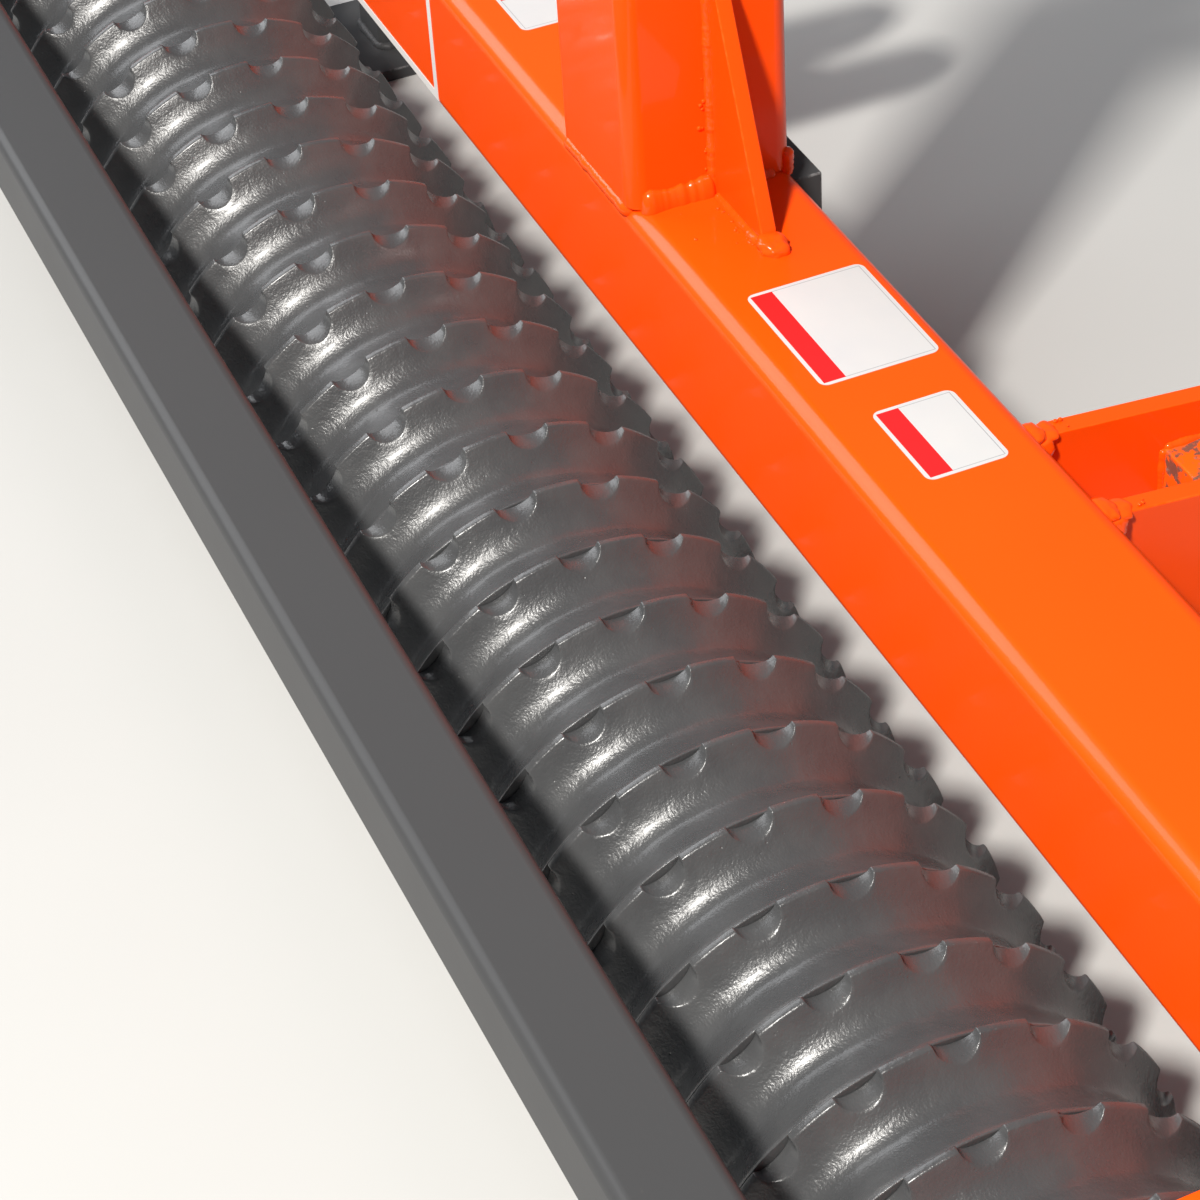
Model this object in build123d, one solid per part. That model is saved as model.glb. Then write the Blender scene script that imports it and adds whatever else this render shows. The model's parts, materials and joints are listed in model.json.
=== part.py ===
from build123d import *
import math
import os

# Cultipacker for a three-point linkage: a roller of toothed cast rings under a square toolbar.
# Millimetres. +X is the machine's right, +Y is forward to the tractor, +Z is up, the floor is Z = 0.
# Inside this file Y = 0 is the roller's axis; put_down() moves every piece so that the
# machine's box is centred on the origin.

# Packer rings
RING_RADIUS = 127.0  # over the teeth
RING_PITCH = 56.5  # from one ring to the next along the shaft
RING_COUNT = 28
RING_GAP = 0.4  # between two rings
RING_TEETH = 16
RING_FLANGE = 5.5  # thickness of the toothed flange
NOTCH_DEPTH = 9.0
NOTCH_FLOOR = 5.5  # degrees of arc that the floor of a notch takes
TREAD_SIDES = 12  # flats round the tread of a ring
TREAD_FOOT_RADIUS = 117.5  # where the tread leaves the flange
TREAD_VALLEY = 28.0  # lowest place of the tread, from the toothed face
TREAD_VALLEY_RADIUS = 109.0
TREAD_RIM_RADIUS = 126.5  # where the tread meets the next ring
BORE_SIDES = 6  # flats round the bore of a ring
# Degrees from +Z towards +Y at which a tooth of each ring stands, from the left end to the right end
RING_TURNS = (-2.0, 4.0, -7.0, 9.0, 0.0, -5.0, -8.0, 0.2, -3.9, -5.1, 6.1, 0.7, -3.6, 7.9,
              9.5, 9.7, -5.7, 2.8, 8.8, 8.8, 8.9, 0.6, 4.7, -6.1, -2.4, -8.6, 5.9, 3.0)

# Roller shaft, washers and bearings
SHAFT_RADIUS = 25.4
BORE_CLEARANCE = 0.3  # ring on shaft, all round
WASHER_RADIUS = 62.0
HIDDEN_SIDES = 16  # flats round the washers and the side plates' holes, which nothing shows
WASHER_THICKNESS = 6.0
JOURNAL_RADIUS = 19.05
JOURNAL_CLEARANCE = 0.05
JOURNAL_END = 5.0  # how far the journal stands out of its bearing
PLATE_HOLE_CLEARANCE = 11.0  # side plate round the journal
SIDE_RUNNING_GAP = 6.2  # washer to side plate
BEARING_SQUARE = 104.0
BEARING_FLANGE = 14.0
BEARING_BOSS_RADIUS = 37.0
BEARING_WIDTH = 36.0

# Toolbar and rear bar
TOOLBAR_SIZE = 101.6
TOOLBAR_WALL = 6.35
TOOLBAR_CORNER = 11.0  # outside corners, the inside ones are square
TOOLBAR_REAR_Y = 108.6  # rear face ahead of the roller's axis
TOOLBAR_RISE = 97.0  # underside above the roller's axis
BAR_SIZE = 50.8
BAR_WALL = 4.8
BAR_CORNER = 7.0
BAR_FRONT_Y = -131.0  # front face behind the roller's axis
BAR_RISE = 122.0  # underside above the roller's axis
BAR_FLANGE_MARGIN = 22.0  # bolt flange beyond the bar
BAR_FLANGE_THICKNESS = 8.0

# Side plates
SIDE_PLATE = 9.5
SIDE_PLATE_MARGIN = 12.0  # plate beyond the toolbar
SIDE_PLATE_LEDGE = 4.0  # plate beyond the rear bar's flange
SIDE_PLATE_CUT = 10.0  # cut corners of the plate
SIDE_PLATE_EYE = 64.0  # radius round the bearing

# Mast
HITCH_HEIGHT = 457.2  # from the lower link pins up to the top link pin, category 1
MAST_CAP = 8.0
GUSSET_BASE = 62.0
GUSSET_HEIGHT = 138.0
GUSSET_THICKNESS = 9.5
GUSSET_TOE = 8.0  # blunt corner at each end of the sloping edge
GUSSET_AHEAD = 5.0  # middle of the gusset ahead of the mast's middle
MAST_CAP_CUT = 9.0  # cut corners of the cap
EAR_GAP = 52.0
EAR_THICKNESS = 12.0
EAR_HEIGHT = 84.0
EAR_ROOT = 21.0  # straight part of the ear at the mast
EAR_NOSE = 56.0  # width round the top link pin
EAR_CUT = 16.0  # cut corners of the nose
EAR_REACH = 92.0  # top link pin ahead of the mast
TOP_PIN_RADIUS = 9.5
TOP_PIN_DROP = 46.0  # pin hole below the mast's top
CENTER_PLATE_THICKNESS = 18.0
CENTER_PLATE_HEIGHT = 86.0
CENTER_PLATE_DROP = 8.0  # below the toolbar's top

# Lower link plates
LINK_GAP_CENTER = 360.9  # from the machine's middle
LINK_GAP = 61.0
LINK_PLATE = 12.0
LINK_DROP = 8.0  # plate top below the toolbar's top
LINK_ROOT_HEIGHT = 90.0
LINK_TIP_RADIUS = 36.0
LINK_REACH = 164.0  # lower link pin ahead of the toolbar
LINK_PIN_DROP = 50.0  # pin below the plates' top
LINK_PIN_RADIUS = 11.1
LINK_SPACER = 34.0
LINK_SPACER_REACH = 77.0  # spacer ahead of the toolbar
LINK_SPACER_DROP = 32.0
PIN_CLEARANCE = 0.25

# Parking stands
STAND_CENTER = 740.0  # from the machine's middle
STAND_LEG = 50.8
STAND_LEG_WALL = 4.8
STAND_LEG_CORNER = 6.0
STAND_LEG_LENGTH = 350.0
STAND_CLEARANCE = 0.4
STAND_SLEEVE_WALL = 6.0
STAND_SLEEVE_CUT = 5.0  # cut corners of the sleeve
STAND_SLEEVE_LENGTH = 122.0
STAND_SLEEVE_DROP = 4.0  # below the toolbar's top
STAND_FOOT = 120.0
STAND_FOOT_THICKNESS = 10.0
STAND_FOOT_CUT = 16.0  # cut corners of the foot plate
SCREW_RADIUS = 7.0
SCREW_REACH = 46.0  # screw ahead of the sleeve
SCREW_NUT_HALF = 12.0  # half the width of the welded nut across its flats
SCREW_NUT_HEIGHT = 13.0
SCREW_HANDLE_RADIUS = 5.0
SCREW_HANDLE_LENGTH = 84.0
SCREW_TIP_GAP = 0.3
SCREW_SIDES = 8  # flats round the screw and its hole
HANDLE_SIDES = 6

# Worked out from the sizes above
AXIS_Z = RING_RADIUS
PACK_HALF = RING_COUNT * RING_PITCH / 2
WASHER_X = PACK_HALF + RING_GAP
INSIDE_HALF = WASHER_X + WASHER_THICKNESS + SIDE_RUNNING_GAP
OUTSIDE_HALF = INSIDE_HALF + SIDE_PLATE
TOOLBAR_BOTTOM_Z = AXIS_Z + TOOLBAR_RISE
TOOLBAR_TOP_Z = TOOLBAR_BOTTOM_Z + TOOLBAR_SIZE
TOOLBAR_FRONT_Y = TOOLBAR_REAR_Y + TOOLBAR_SIZE
TOOLBAR_MID_Y = TOOLBAR_REAR_Y + TOOLBAR_SIZE / 2
BAR_MID_Y = BAR_FRONT_Y - BAR_SIZE / 2
BAR_MID_Z = AXIS_Z + BAR_RISE + BAR_SIZE / 2
BAR_FLANGE = BAR_SIZE + 2 * BAR_FLANGE_MARGIN
LINK_TOP_Z = TOOLBAR_TOP_Z - LINK_DROP
LINK_PIN_Y = TOOLBAR_FRONT_Y + LINK_REACH
LINK_PIN_Z = LINK_TOP_Z - LINK_PIN_DROP
TOP_PIN_Y = TOOLBAR_FRONT_Y + EAR_REACH
TOP_PIN_Z = LINK_PIN_Z + HITCH_HEIGHT
MAST_TOP_Z = TOP_PIN_Z + TOP_PIN_DROP
MAST_HEIGHT = MAST_TOP_Z - TOOLBAR_TOP_Z
SLEEVE_INSIDE = STAND_LEG + 2 * STAND_CLEARANCE
SLEEVE_OUTSIDE = SLEEVE_INSIDE + 2 * STAND_SLEEVE_WALL
STAND_Y = TOOLBAR_FRONT_Y + SLEEVE_OUTSIDE / 2
SLEEVE_TOP_Z = TOOLBAR_TOP_Z - STAND_SLEEVE_DROP
FRONT_Y = LINK_PIN_Y + LINK_TIP_RADIUS
REAR_Y = BAR_MID_Y - BAR_FLANGE / 2 - SIDE_PLATE_LEDGE
MIDDLE_Y = (FRONT_Y + REAR_Y) / 2


def put_down(shape, name):
    """Move a piece from roller coordinates to the part's frame and write it."""
    export_step(Pos(0, -MIDDLE_Y, 0) * shape, f"parts/{name}.step")


def several(pieces):
    """Like solids that do not touch, as one piece."""
    return Compound([piece.solid() for piece in pieces])


def box_at(x, y, z):
    """A box between the two values given for each of x, y and z."""
    size = [high - low for low, high in (x, y, z)]
    centre = [(high + low) / 2 for low, high in (x, y, z)]
    return Pos(*centre) * Box(*size)


def rod_x(radius, x, y, z):
    """A round bar along X between the two values of x."""
    low, high = x
    return Pos((low + high) / 2, y, z) * Rot(0, 90, 0) * Cylinder(radius, high - low)


def flat_sided(half, sides, low, high):
    """A straight bar along Z with flat sides, half its width across them."""
    return Pos(0, 0, low) * extrude(RegularPolygon(half, sides, major_radius=False), high - low)


def square_tube(size, wall, corner, length):
    """A square tube along Z, centred on the origin, with rounded outer corners."""
    section = RectangleRounded(size, size, corner)
    hollow = Rectangle(size - 2 * wall, size - 2 * wall)
    return extrude(section - hollow, length / 2, both=True)


def plate_x(outline, low, high):
    """A plate from an outline in the YZ plane, between two values of x."""
    return extrude(Plane.YZ.offset(low) * outline, high - low)


def polar(radius, degrees):
    """A point at a radius and an angle from +Z towards +Y, in the YZ plane."""
    turn = math.radians(degrees)
    return (radius * math.sin(turn), radius * math.cos(turn))


def cut_square(size, cut):
    """A square with its four corners cut off."""
    square = Rectangle(size, size)
    return chamfer(square.vertices(), cut)


def flat_turned(sides, profile):
    """A solid round X with flat sides, from (x, corner radius) pairs in order along X."""
    hoops = []
    for x, radius in profile:
        hoops.append([(x, *polar(radius, 360 * (i + 0.5) / sides)) for i in range(sides)])
    outlines = [hoops[0], hoops[-1]]
    for near, far in zip(hoops, hoops[1:]):
        outlines += [(near[i - 1], near[i], far[i], far[i - 1]) for i in range(sides)]
    return Solid(Shell([Face(Wire.make_polygon(outline, close=True)) for outline in outlines]))


def packer_ring():
    """One ring: a toothed flange at its left face and a hollow tread up to a smooth rim."""
    step = 360 / RING_TEETH
    tooth = step / 2
    # angle from the tooth's middle in degrees, radius
    period = (
        (-tooth / 2, RING_RADIUS),
        (tooth / 2, RING_RADIUS),
        (step / 2 - NOTCH_FLOOR / 2, RING_RADIUS - NOTCH_DEPTH),
        (step / 2 + NOTCH_FLOOR / 2, RING_RADIUS - NOTCH_DEPTH),
    )
    corners = [polar(radius, i * step + turn) for i in range(RING_TEETH) for turn, radius in period]
    flange = plate_x(make_face(Polyline(*corners, close=True)), 0, RING_FLANGE)
    width = RING_PITCH - RING_GAP
    tread = flat_turned(TREAD_SIDES, (
        (RING_FLANGE, TREAD_FOOT_RADIUS), (TREAD_VALLEY, TREAD_VALLEY_RADIUS), (width, TREAD_RIM_RADIUS)))
    bore = plate_x(RegularPolygon(SHAFT_RADIUS + BORE_CLEARANCE, BORE_SIDES, major_radius=False), 0, width)
    return flange + tread - bore


def packer_rings():
    """All the rings, side by side on the shaft."""
    ring = packer_ring()
    placed = []
    for i in range(RING_COUNT):
        place = Pos(i * RING_PITCH - PACK_HALF + RING_GAP / 2, 0, AXIS_Z)
        placed.append(place * Rot(-RING_TURNS[i % len(RING_TURNS)], 0, 0) * ring)
    return several(placed)


def roller_shaft():
    """The round shaft with a thinner journal turned at each end."""
    shoulder = WASHER_X + WASHER_THICKNESS
    journal_half = OUTSIDE_HALF + BEARING_WIDTH + JOURNAL_END
    shaft = rod_x(SHAFT_RADIUS, (-shoulder, shoulder), 0, AXIS_Z)
    return shaft + rod_x(JOURNAL_RADIUS, (-journal_half, journal_half), 0, AXIS_Z)


def clamp_washers():
    """A thick washer at each end that holds the rings together."""
    bore = RegularPolygon(SHAFT_RADIUS + BORE_CLEARANCE, BORE_SIDES, major_radius=False)
    outline = RegularPolygon(WASHER_RADIUS, HIDDEN_SIDES) - bore
    washer = plate_x(outline, -WASHER_THICKNESS / 2, WASHER_THICKNESS / 2)
    reach = WASHER_X + WASHER_THICKNESS / 2
    return several(Pos(side * reach, 0, AXIS_Z) * washer for side in (-1, 1))


def bearing(side):
    """A square-flanged bearing housing outside the side plate."""
    face = side * OUTSIDE_HALF
    flange = plate_x(cut_square(BEARING_SQUARE, BEARING_SQUARE / 8), 0, BEARING_FLANGE)
    boss = rod_x(BEARING_BOSS_RADIUS, (0, BEARING_WIDTH), 0, 0)
    bore = rod_x(JOURNAL_RADIUS + JOURNAL_CLEARANCE, (-1, BEARING_WIDTH + 1), 0, 0)
    housing = flange + boss - bore
    if side < 0:
        housing = Rot(0, 0, 180) * housing
    return Pos(face, 0, AXIS_Z) * housing


def toolbar():
    """The square tube between the side plates."""
    tube = square_tube(TOOLBAR_SIZE, TOOLBAR_WALL, TOOLBAR_CORNER, 2 * INSIDE_HALF)
    return Pos(0, TOOLBAR_MID_Y, TOOLBAR_BOTTOM_Z + TOOLBAR_SIZE / 2) * Rot(0, 90, 0) * tube


def rear_bar():
    """The lighter tube behind the roller."""
    tube = square_tube(BAR_SIZE, BAR_WALL, BAR_CORNER, 2 * (INSIDE_HALF - BAR_FLANGE_THICKNESS))
    return Pos(0, BAR_MID_Y, BAR_MID_Z) * Rot(0, 90, 0) * tube


def bar_flanges():
    """The bolting flange at each end of the rear bar."""
    reach = INSIDE_HALF - BAR_FLANGE_THICKNESS / 2
    flange = Box(BAR_FLANGE_THICKNESS, BAR_FLANGE, BAR_FLANGE)
    return several(Pos(side * reach, BAR_MID_Y, BAR_MID_Z) * flange for side in (-1, 1))


def side_plate(side):
    """An end plate: the hull round the toolbar's end, the rear bar's end and the bearing."""
    edges = list((Pos(0, AXIS_Z) * Circle(SIDE_PLATE_EYE)).edges())
    for y, z, size, margin in (
        (TOOLBAR_MID_Y, TOOLBAR_BOTTOM_Z + TOOLBAR_SIZE / 2, TOOLBAR_SIZE, SIDE_PLATE_MARGIN),
        (BAR_MID_Y, BAR_MID_Z, BAR_FLANGE, SIDE_PLATE_LEDGE),
    ):
        edges += (Pos(y, z) * cut_square(size + 2 * margin, SIDE_PLATE_CUT)).edges()
    hole = RegularPolygon(JOURNAL_RADIUS + PLATE_HOLE_CLEARANCE, HIDDEN_SIDES, major_radius=False)
    outline = make_hull(edges) - Pos(0, AXIS_Z) * hole
    low, high = sorted((side * INSIDE_HALF, side * OUTSIDE_HALF))
    return plate_x(outline, low, high)


def mast_post():
    """The square tube that stands on the middle of the toolbar."""
    tube = square_tube(TOOLBAR_SIZE, TOOLBAR_WALL, TOOLBAR_CORNER, MAST_HEIGHT)
    return Pos(0, TOOLBAR_MID_Y, TOOLBAR_TOP_Z + MAST_HEIGHT / 2) * tube


def mast_cap():
    """The plate that closes the mast's top."""
    cap = extrude(cut_square(TOOLBAR_SIZE, MAST_CAP_CUT), MAST_CAP)
    return Pos(0, TOOLBAR_MID_Y, MAST_TOP_Z) * cap


def mast_gusset(side):
    """The triangular plate between the toolbar's top and the mast's side."""
    root = side * TOOLBAR_SIZE / 2
    tip = root + side * GUSSET_BASE
    toe = root + side * GUSSET_TOE
    outline = make_face(Polyline(
        (root, TOOLBAR_TOP_Z), (tip, TOOLBAR_TOP_Z), (tip, TOOLBAR_TOP_Z + GUSSET_TOE),
        (toe, TOOLBAR_TOP_Z + GUSSET_HEIGHT), (root, TOOLBAR_TOP_Z + GUSSET_HEIGHT), close=True))
    plate = extrude(Plane.XZ * outline, GUSSET_THICKNESS / 2, both=True)
    return Pos(0, TOOLBAR_MID_Y + GUSSET_AHEAD, 0) * plate


def top_ear(side):
    """One cheek of the top link clevis, with the bore for its pin."""
    low, high = sorted((side * EAR_GAP / 2, side * (EAR_GAP / 2 + EAR_THICKNESS)))
    root = Pos(TOOLBAR_FRONT_Y + EAR_ROOT / 2, TOP_PIN_Z) * Rectangle(EAR_ROOT, EAR_HEIGHT)
    nose = Pos(TOP_PIN_Y, TOP_PIN_Z) * cut_square(EAR_NOSE, EAR_CUT)
    outline = make_hull(list(root.edges()) + list(nose.edges()))
    outline -= Pos(TOP_PIN_Y, TOP_PIN_Z) * Circle(TOP_PIN_RADIUS + PIN_CLEARANCE)
    return plate_x(outline, low, high)


def center_plate():
    """The thick plate welded on the toolbar's front under the mast."""
    half = TOOLBAR_SIZE / 2
    top = TOOLBAR_TOP_Z - CENTER_PLATE_DROP
    return box_at((-half, half), (TOOLBAR_FRONT_Y, TOOLBAR_FRONT_Y + CENTER_PLATE_THICKNESS),
                  (top - CENTER_PLATE_HEIGHT, top))


def link_plate(side, outer):
    """One of the two plates that hold a lower link pin: straight top, tapered underside, round nose."""
    near = side * (LINK_GAP_CENTER + outer * LINK_GAP / 2)
    far = near + side * outer * LINK_PLATE
    root_depth = 10.0
    root = Pos(TOOLBAR_FRONT_Y + root_depth / 2, LINK_TOP_Z - LINK_ROOT_HEIGHT / 2) * Rectangle(
        root_depth, LINK_ROOT_HEIGHT)
    nose = Pos(LINK_PIN_Y, LINK_PIN_Z) * Circle(LINK_TIP_RADIUS)
    outline = make_hull(list(root.edges()) + list(nose.edges()))
    outline -= Pos(LINK_PIN_Y, LINK_PIN_Z) * Circle(LINK_PIN_RADIUS + PIN_CLEARANCE)
    return plate_x(outline, *sorted((near, far)))


def link_spacer(side):
    """The square bar welded between two link plates."""
    middle = side * LINK_GAP_CENTER
    low_y = TOOLBAR_FRONT_Y + LINK_SPACER_REACH
    top = LINK_TOP_Z - LINK_SPACER_DROP
    return box_at((middle - LINK_GAP / 2, middle + LINK_GAP / 2), (low_y, low_y + LINK_SPACER),
                  (top - LINK_SPACER, top))


def stand_sleeve(side):
    """The square socket on the toolbar's front that guides a stand's leg."""
    section = cut_square(SLEEVE_OUTSIDE, STAND_SLEEVE_CUT) - Rectangle(SLEEVE_INSIDE, SLEEVE_INSIDE)
    sleeve = extrude(section, STAND_SLEEVE_LENGTH / 2, both=True)
    hole = Rot(-90, 0, 0) * flat_sided(SCREW_RADIUS + PIN_CLEARANCE, SCREW_SIDES, 0, SLEEVE_OUTSIDE)
    return Pos(side * STAND_CENTER, STAND_Y, SLEEVE_TOP_Z - STAND_SLEEVE_LENGTH / 2) * (sleeve - hole)


def stand_leg(side):
    """A stand's leg, on its foot plate."""
    tube = square_tube(STAND_LEG, STAND_LEG_WALL, STAND_LEG_CORNER, STAND_LEG_LENGTH)
    return Pos(side * STAND_CENTER, STAND_Y, STAND_FOOT_THICKNESS + STAND_LEG_LENGTH / 2) * tube


def stand_foot(side):
    """The plate under a stand's leg, on the floor."""
    return Pos(side * STAND_CENTER, STAND_Y, 0) * extrude(
        cut_square(STAND_FOOT, STAND_FOOT_CUT), STAND_FOOT_THICKNESS)


def at_screw(side):
    """The place on a sleeve's front face where the clamping screw goes in."""
    return Pos(side * STAND_CENTER, STAND_Y + SLEEVE_OUTSIDE / 2, SLEEVE_TOP_Z - STAND_SLEEVE_LENGTH / 2)


def stand_nut(side):
    """The nut welded on a sleeve's front for the clamping screw."""
    hole = RegularPolygon(SCREW_RADIUS + PIN_CLEARANCE, SCREW_SIDES, major_radius=False)
    outline = RegularPolygon(SCREW_NUT_HALF, 6, major_radius=False) - hole
    return at_screw(side) * Rot(-90, 0, 0) * extrude(outline, SCREW_NUT_HEIGHT)


def stand_screw(side):
    """The clamping screw, with its cross handle."""
    tip = STAND_LEG / 2 + SCREW_TIP_GAP - SLEEVE_OUTSIDE / 2
    screw = Rot(-90, 0, 0) * flat_sided(SCREW_RADIUS, SCREW_SIDES, tip, SCREW_REACH)
    half = SCREW_HANDLE_LENGTH / 2
    handle = Rot(0, 90, 0) * flat_sided(SCREW_HANDLE_RADIUS, HANDLE_SIDES, -half, half)
    return at_screw(side) * (screw + Pos(0, SCREW_REACH - SCREW_RADIUS, 0) * handle)


def pair(make, *options):
    """The left and the right copy of a piece, as one piece."""
    return several(make(side, *options) for side in (-1, 1))


SIDES = (("left", -1), ("right", 1))

os.makedirs("parts", exist_ok=True)
put_down(packer_rings(), "packer_rings")
put_down(roller_shaft(), "roller_shaft")
put_down(clamp_washers(), "clamp_washers")
put_down(pair(bearing), "bearings")
put_down(pair(side_plate), "side_plates")
put_down(toolbar(), "toolbar")
put_down(rear_bar(), "rear_bar")
put_down(bar_flanges(), "bar_flanges")
put_down(mast_post(), "mast_post")
put_down(mast_cap(), "mast_cap")
put_down(center_plate(), "center_plate")
put_down(pair(link_plate, -1), "link_plates_inner")
put_down(pair(link_plate, 1), "link_plates_outer")
put_down(pair(stand_sleeve), "stand_sleeves")
put_down(pair(stand_nut), "stand_nuts")
put_down(pair(stand_screw), "stand_screws")
for word, side in SIDES:
    put_down(mast_gusset(side), f"mast_gusset_{word}")
    put_down(top_ear(side), f"top_ear_{word}")
    put_down(link_spacer(side), f"link_spacer_{word}")
    put_down(stand_leg(side), f"stand_leg_{word}")
    put_down(stand_foot(side), f"stand_foot_{word}")
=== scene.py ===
"""Looks of a cultipacker for a three-point linkage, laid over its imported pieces.

Metres, in the part's frame: +X is the machine's right along the roller, +Y is forward to the tractor, +Z is
up, and the floor is Z = 0. Sizes of details are written in millimetres times MM.
"""

import sys

import json
import logging
import math
import random
from dataclasses import dataclass
from enum import Enum
from typing import Iterable, Sequence, Union

import bmesh
import bpy
from mathutils import Matrix, Vector, noise


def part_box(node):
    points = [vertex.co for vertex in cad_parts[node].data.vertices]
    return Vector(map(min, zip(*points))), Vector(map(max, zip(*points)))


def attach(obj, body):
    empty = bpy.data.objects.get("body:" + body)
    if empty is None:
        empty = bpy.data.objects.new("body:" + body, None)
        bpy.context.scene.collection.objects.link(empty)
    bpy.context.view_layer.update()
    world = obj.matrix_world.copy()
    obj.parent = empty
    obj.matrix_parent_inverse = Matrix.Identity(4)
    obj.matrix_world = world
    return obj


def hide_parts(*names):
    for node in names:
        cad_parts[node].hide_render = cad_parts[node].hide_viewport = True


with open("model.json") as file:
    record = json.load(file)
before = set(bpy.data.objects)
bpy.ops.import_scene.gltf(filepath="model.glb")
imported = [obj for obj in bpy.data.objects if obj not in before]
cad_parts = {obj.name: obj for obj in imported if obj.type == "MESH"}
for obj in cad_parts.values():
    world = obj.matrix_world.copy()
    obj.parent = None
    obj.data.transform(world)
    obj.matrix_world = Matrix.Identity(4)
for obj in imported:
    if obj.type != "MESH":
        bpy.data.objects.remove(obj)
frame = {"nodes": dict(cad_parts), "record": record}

MM = 0.001
SIDES = (("left", -1), ("right", 1))
Number = Union[float, "Signal"]
Tint = Union["Signal", Sequence[float]]
Colour = tuple[float, float, float, float]
Point = tuple[float, float, float]
log = logging.getLogger("cultipacker")


class Body(Enum):
    """The bodies that a piece can ride on."""

    FRAME = "frame"
    ROLLER = "roller"
    STAND_LEFT = "stand_left"
    STAND_RIGHT = "stand_right"


class Slot(Enum):
    """The record's material slots."""

    ORANGE = "orange_paint"
    GREY = "grey_paint"
    RING = "ring_paint"
    BEARING = "bearing_paint"
    STEEL = "bare_steel"
    ZINC = "zinc_plate"


# Shader maths

@dataclass(frozen=True)
class Signal:
    """A node's output, on which sums are written as plain expressions."""

    shader: "Shader"
    socket: bpy.types.NodeSocket

    def _math(self, operation: str, first: Number, second: Number = 0.0) -> "Signal":
        """Add a Math node and return its result."""
        return self.shader.node("ShaderNodeMath", {"operation": operation}, {0: first, 1: second})

    def __add__(self, other: Number) -> "Signal":
        """Sum."""
        return self._math("ADD", self, other)

    __radd__ = __add__

    def __sub__(self, other: Number) -> "Signal":
        """Difference."""
        return self._math("SUBTRACT", self, other)

    def __rsub__(self, other: Number) -> "Signal":
        """Difference from a number."""
        return self._math("SUBTRACT", other, self)

    def __mul__(self, other: Number) -> "Signal":
        """Product."""
        return self._math("MULTIPLY", self, other)

    __rmul__ = __mul__

    def __abs__(self) -> "Signal":
        """Absolute value."""
        return self._math("ABSOLUTE", self)

    def most(self, other: Number) -> "Signal":
        """The larger of the two."""
        return self._math("MAXIMUM", self, other)

    def ramp(self, low: float, high: float) -> "Signal":
        """0 at low, 1 at high and a smooth step between them."""
        settings = {"interpolation_type": "SMOOTHSTEP"}
        return self.shader.node("ShaderNodeMapRange", settings, {0: self, 1: low, 2: high})


class Shader:
    """One material's node tree, built through one method."""

    def __init__(self, name: str) -> None:
        """Start an empty tree with its output."""
        self.material = bpy.data.materials.new(name)
        self.material.use_nodes = True
        self.tree = self.material.node_tree
        self.tree.nodes.clear()
        self.output = self.tree.nodes.new("ShaderNodeOutputMaterial")
        self.place = self.node("ShaderNodeTexCoord", out="Object")

    def node(self, kind: str, settings: dict | None = None, sockets: dict | None = None,
             out: int | str = 0) -> Signal:
        """Add a node.

        Args:
            kind: The node's type.
            settings: Its properties, set before its sockets.
            sockets: A value or a Signal for each input, by place or name.
            out: The output that is wanted.

        Returns:
            That output.
        """
        made = self.tree.nodes.new(kind)
        for key, value in (settings or {}).items():
            setattr(made, key, value)
        for key, value in (sockets or {}).items():
            if isinstance(value, Signal):
                self.tree.links.new(value.socket, made.inputs[key])
            else:
                made.inputs[key].default_value = value
        return Signal(self, made.outputs[out])

    def noise(self, grain: float, detail: float = 2.0, rough: float = 0.5,
              where: Signal | None = None) -> Signal:
        """Noise with grains of about that many metres, from 0 to 1."""
        sockets = {"Vector": where or self.place, "Scale": 1 / grain, "Detail": detail, "Roughness": rough}
        return self.node("ShaderNodeTexNoise", None, sockets)

    def cells(self, grain: float) -> Signal:
        """Distance to the nearest of points that lie about that many metres apart."""
        return self.node("ShaderNodeTexVoronoi", None, {"Vector": self.place, "Scale": 1 / grain})

    def stretched(self, x: float, y: float, z: float) -> Signal:
        """The object's coordinates, scaled along each axis."""
        return self.node("ShaderNodeMapping", None, {"Vector": self.place, "Scale": (x, y, z)})

    def part(self, axis: str, centre: Sequence[float]) -> Signal:
        """One coordinate, measured from a centre."""
        shift = tuple(-value for value in centre)
        moved = self.node("ShaderNodeMapping", None, {"Vector": self.place, "Location": shift})
        return self.node("ShaderNodeSeparateXYZ", None, {0: moved}, out=axis)

    def mixed(self, factor: Number, first: Tint, second: Tint) -> Signal:
        """One colour over another."""
        sockets = {0: factor, 6: first, 7: second}
        return self.node("ShaderNodeMix", {"data_type": "RGBA"}, sockets, out=2)

    def bump(self, height: Signal, depth: float, under: Signal | None = None) -> Signal:
        """A relief in the surface.

        Args:
            height: Its height, from 0 to 1.
            depth: How many metres 1 stands for.
            under: Another relief that it lies on.

        Returns:
            The surface's direction.
        """
        sockets = {"Height": height, "Distance": depth, "Strength": 1.0}
        if under:
            sockets["Normal"] = under
        return self.node("ShaderNodeBump", None, sockets)

    def wear(self) -> Signal:
        """1 along the edges of a piece, 0 on its faces."""
        return self.node("ShaderNodeAttribute", {"attribute_name": "edge"}, out="Fac")

    def finish(self, **sockets: Union[Number, Tint]) -> bpy.types.Material:
        """Close the tree with one surface.

        Args:
            sockets: Values or Signals for the surface, with _ for each space of a name.

        Returns:
            The material.
        """
        named = {key.replace("_", " "): value for key, value in sockets.items()}
        surface = self.node("ShaderNodeBsdfPrincipled", None, named)
        self.tree.links.new(surface.socket, self.output.inputs["Surface"])
        return self.material


def rgb(red: float, green: float, blue: float) -> Colour:
    """A colour from linear values."""
    return (red, green, blue, 1.0)


# Finishes

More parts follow.
